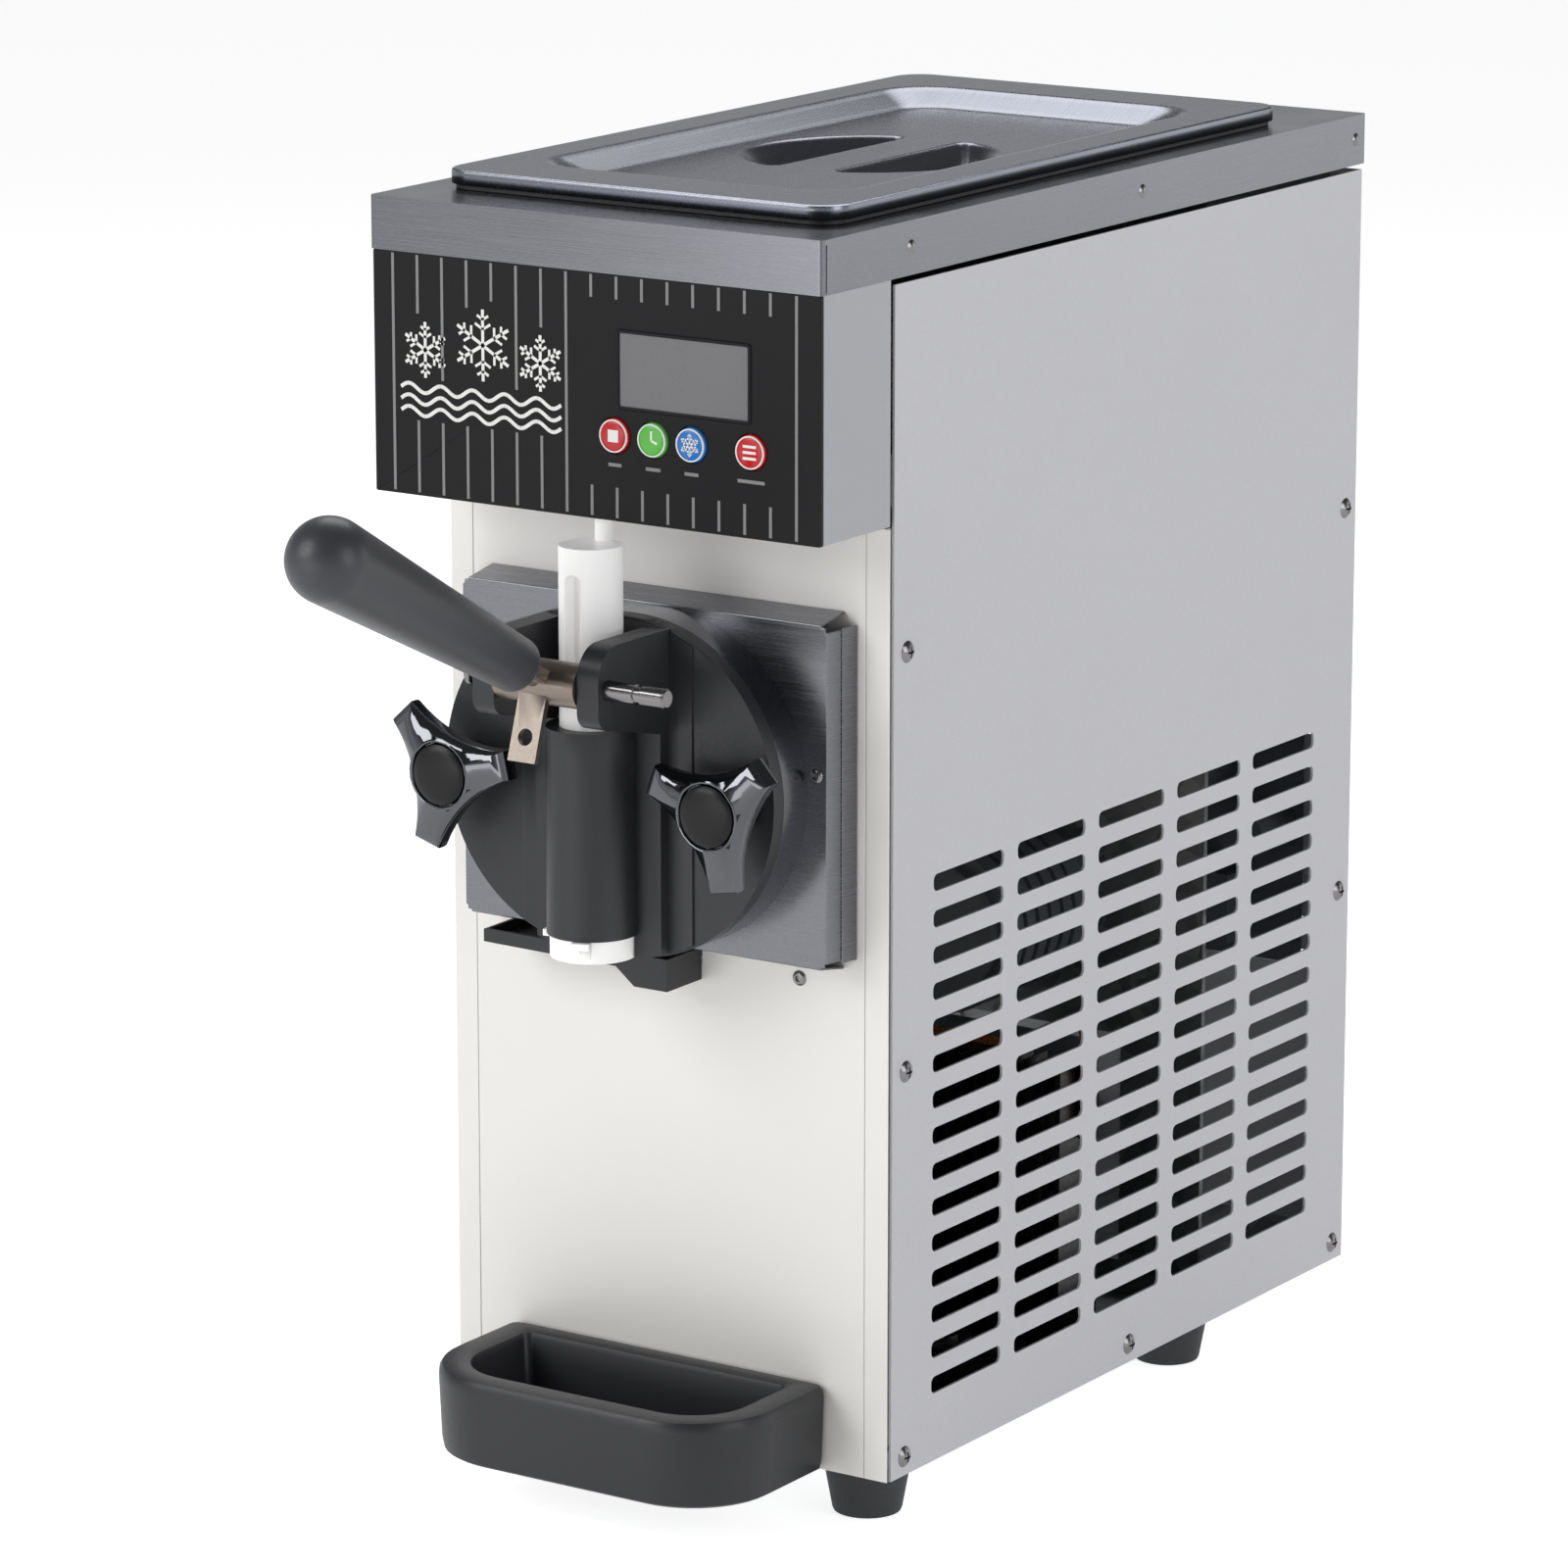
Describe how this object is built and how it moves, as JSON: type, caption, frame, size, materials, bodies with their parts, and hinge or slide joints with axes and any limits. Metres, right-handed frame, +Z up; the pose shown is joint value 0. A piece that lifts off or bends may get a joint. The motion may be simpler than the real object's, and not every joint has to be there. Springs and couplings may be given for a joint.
{
  "type": "countertop soft-serve ice cream maker",
  "caption": "Countertop soft-serve machine: stainless top and lid, white front, vented grey sides, black draw head with lever, two lobed knobs and a drip tray.",
  "frame": {"origin": "on the table, midway between the extreme left and right points and midway between the ball of the draw lever and the back edge of the top cap", "axes": "+X right as the user faces the machine, -Y toward the user (the draw lever points that way), +Z up"},
  "size_m": [0.2428, 0.6826, 0.604],
  "materials": {
    "galvanised_sheet": "zinc-coated sheet steel, unpainted",
    "foot_rubber": "moulded black rubber, matt",
    "white_enamel": "warm white baked enamel, soft sheen",
    "grey_enamel": "light grey powder coat with a fine grain",
    "bright_steel": "turned and bright-rolled steel fasteners",
    "brushed_stainless": "satin-brushed stainless sheet",
    "fascia_film": "printed polyester film, dark grey with light stripes",
    "display_glass": "dim grey display window",
    "red_plastic": "red push button",
    "green_plastic": "green push button",
    "blue_plastic": "blue push button",
    "circuit_board": "green solder mask",
    "black_plastic": "moulded black plastic with a soft sheen",
    "black_gloss_plastic": "polished black plastic",
    "white_plastic": "food-grade white acetal",
    "seal_rubber": "black nitrile rubber",
    "mirror_stainless": "polished stainless",
    "copper": "drawn copper tube",
    "foam": "expanded polyurethane foam",
    "chrome_plating": "chrome-plated die casting",
    "cast_steel": "investment-cast stainless, lightly bead-blasted",
    "grip_rubber": "dark grey moulded rubber",
    "cast_aluminium": "die-cast aluminium",
    "motor_enamel": "grey motor paint",
    "compressor_enamel": "black compressor enamel"
  },
  "bodies": {
    "cabinet": {"base_plate": "galvanised_sheet", "feet": "foot_rubber", "corner_posts": "white_enamel", "front_panel": "white_enamel", "left_side_panel": "grey_enamel", "right_side_panel": "grey_enamel", "rear_panel": "grey_enamel", "side_screws": "bright_steel", "top_cap": "brushed_stainless", "cap_rivets": "bright_steel", "head_shell": "grey_enamel", "control_fascia": "fascia_film", "display_window": "display_glass", "control_board": "circuit_board", "microswitch": "black_plastic", "hopper_pan": "brushed_stainless", "air_tube": "white_plastic", "freezing_cylinder": "mirror_stainless", "evaporator_coil": "copper", "insulation": "foam", "shaft_seal": "seal_rubber", "head_shroud": "brushed_stainless", "dispensing_head": "black_plastic", "head_seal": "seal_rubber", "mounting_studs": "bright_steel", "pivot_pin": "bright_steel", "drive_bulkhead": "galvanised_sheet", "gear_reducer": "cast_aluminium", "drive_motor": "motor_enamel", "drive_belt": "seal_rubber", "compressor": "compressor_enamel", "condenser": "compressor_enamel", "fan_motor": "motor_enamel", "refrigerant_pipes": "copper", "power_board": "motor_enamel", "power_inlet": "black_plastic"},
    "lid": {"lid": "brushed_stainless", "lid_gasket": "seal_rubber"},
    "stop_button": {"stop_button": "red_plastic"},
    "auto_button": {"auto_button": "green_plastic"},
    "cool_button": {"cool_button": "blue_plastic"},
    "defrost_button": {"defrost_button": "red_plastic"},
    "sensing_pin": {"switch_pin": "white_plastic"},
    "draw_plunger": {"plunger": "white_plastic", "plunger_seals": "seal_rubber"},
    "nozzle": {"nozzle_cap": "white_plastic"},
    "draw_lever": {"lever": "cast_steel", "grip": "grip_rubber"},
    "left_hand_knob": {"left_knob": "chrome_plating", "left_knob_cap": "black_gloss_plastic"},
    "right_hand_knob": {"right_knob": "chrome_plating", "right_knob_cap": "black_gloss_plastic"},
    "leak_tray": {"leak_tray": "black_plastic"},
    "drip_tray": {"drip_tray": "black_plastic"},
    "beater_assembly": {"beater": "brushed_stainless", "scraper_blades": "white_plastic"},
    "driven_pulley": {"gearbox_pulley": "cast_aluminium"},
    "motor_pulley": {"motor_pulley": "cast_aluminium"},
    "cooling_fan": {"fan_blade": "black_plastic"},
    "rocker": {"power_switch": "black_gloss_plastic"}
  },
  "joints": [
    {"name": "draw_handle", "type": "hinge", "parent": "cabinet", "child": "draw_lever", "pos_m": [0, -0.16972, 0.396], "axis": [1, 0, 0], "range_deg": [0, 20]},
    {"name": "plunger_lift", "type": "slide", "parent": "cabinet", "child": "draw_plunger", "axis": [0, 0, 1], "range_m": [0, 0.0095]},
    {"name": "sensing_pin_lift", "type": "slide", "parent": "cabinet", "child": "sensing_pin", "axis": [0, 0, 1], "range_m": [0, 0.0095]},
    {"name": "lid_lift", "type": "slide", "parent": "cabinet", "child": "lid", "axis": [0, 0, 1], "range_m": [0, 0.15]},
    {"name": "stop_press", "type": "slide", "parent": "cabinet", "child": "stop_button", "axis": [0, 1, 0], "range_m": [0, 0.0015], "stiffness_N_per_m": 800},
    {"name": "auto_press", "type": "slide", "parent": "cabinet", "child": "auto_button", "axis": [0, 1, 0], "range_m": [0, 0.0015], "stiffness_N_per_m": 800},
    {"name": "cool_press", "type": "slide", "parent": "cabinet", "child": "cool_button", "axis": [0, 1, 0], "range_m": [0, 0.0015], "stiffness_N_per_m": 800},
    {"name": "defrost_press", "type": "slide", "parent": "cabinet", "child": "defrost_button", "axis": [0, 1, 0], "range_m": [0, 0.0015], "stiffness_N_per_m": 800},
    {"name": "left_knob_turn", "type": "hinge", "parent": "cabinet", "child": "left_hand_knob", "pos_m": [-0.072, -0.14572, 0.341], "axis": [0, 1, 0], "continuous": true},
    {"name": "right_knob_turn", "type": "hinge", "parent": "cabinet", "child": "right_hand_knob", "pos_m": [0.072, -0.14572, 0.341], "axis": [0, 1, 0], "continuous": true},
    {"name": "nozzle_twist", "type": "hinge", "parent": "cabinet", "child": "nozzle", "pos_m": [0, -0.13472, 0.271], "axis": [0, 0, 1], "range_deg": [0, 60]},
    {"name": "leak_tray_pull", "type": "slide", "parent": "cabinet", "child": "leak_tray", "axis": [0, -1, 0], "range_m": [0, 0.095]},
    {"name": "drip_tray_pull", "type": "slide", "parent": "cabinet", "child": "drip_tray", "axis": [0, -1, 0], "range_m": [0, 0.12]},
    {"name": "driven_pulley_spin", "type": "hinge", "parent": "cabinet", "child": "driven_pulley", "pos_m": [0, 0.24228, 0.341], "axis": [0, 1, 0], "continuous": true},
    {"name": "beater_spin", "type": "hinge", "parent": "cabinet", "child": "beater_assembly", "pos_m": [0, -0.07672, 0.341], "axis": [0, 1, 0], "continuous": true},
    {"name": "motor_pulley_spin", "type": "hinge", "parent": "cabinet", "child": "motor_pulley", "pos_m": [0, 0.24228, 0.216], "axis": [0, 1, 0], "continuous": true},
    {"name": "fan_spin", "type": "hinge", "parent": "cabinet", "child": "cooling_fan", "pos_m": [0, 0.14228, 0.101], "axis": [0, 1, 0], "continuous": true},
    {"name": "rocker_tilt", "type": "hinge", "parent": "cabinet", "child": "rocker", "pos_m": [-0.032, 0.33208, 0.074], "axis": [1, 0, 0], "range_deg": [-16, 0]}
  ],
  "couplings": [
    {"joint": "plunger_lift", "follows": "draw_handle", "m_per_rad": 0.027},
    {"joint": "sensing_pin_lift", "follows": "draw_handle", "m_per_rad": 0.027},
    {"joint": "beater_spin", "follows": "driven_pulley_spin", "ratio": 1},
    {"joint": "motor_pulley_spin", "follows": "driven_pulley_spin", "ratio": 2.25}
  ]
}
